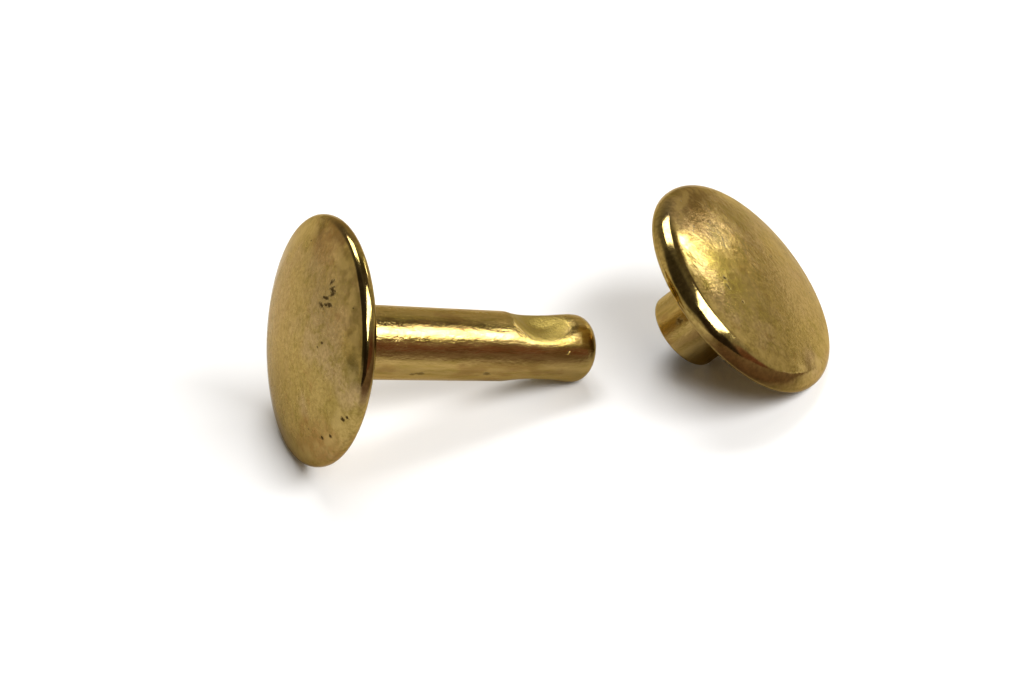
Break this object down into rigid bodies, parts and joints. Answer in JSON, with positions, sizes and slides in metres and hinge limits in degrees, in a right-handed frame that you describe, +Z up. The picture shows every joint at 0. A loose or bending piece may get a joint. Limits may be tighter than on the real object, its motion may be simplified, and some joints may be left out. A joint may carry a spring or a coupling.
{
  "type": "double-cap rivet",
  "caption": "Unset double-cap brass rivet for leather: a post half and a cap half lying loose, ready to be pushed together through the work and set.",
  "frame": {"origin": "on the surface the rivet lies on, below the middle of the pair's bounding box", "axes": "+X along the post's direction seen from above, from its cap towards its tip and on to the cap half; +Z up"},
  "size_m": [0.0226, 0.011, 0.0091],
  "materials": {
    "cap_brass": "antique brass, satin with a fine orange-peel texture and small dark tarnish spots",
    "stem_brass": "drawn brass, smoother and brighter than the caps, satin inside the dents"
  },
  "bodies": {
    "post_half": {"post": "stem_brass", "post_cap": "cap_brass"},
    "cap_half": {"socket": "stem_brass", "socket_cap": "cap_brass"}
  },
  "joints": [
    {"name": "cap_half_lift", "type": "slide", "parent": "post_half", "child": "cap_half", "axis": [0, 0, 1], "range_m": [0, 0.02]}
  ]
}
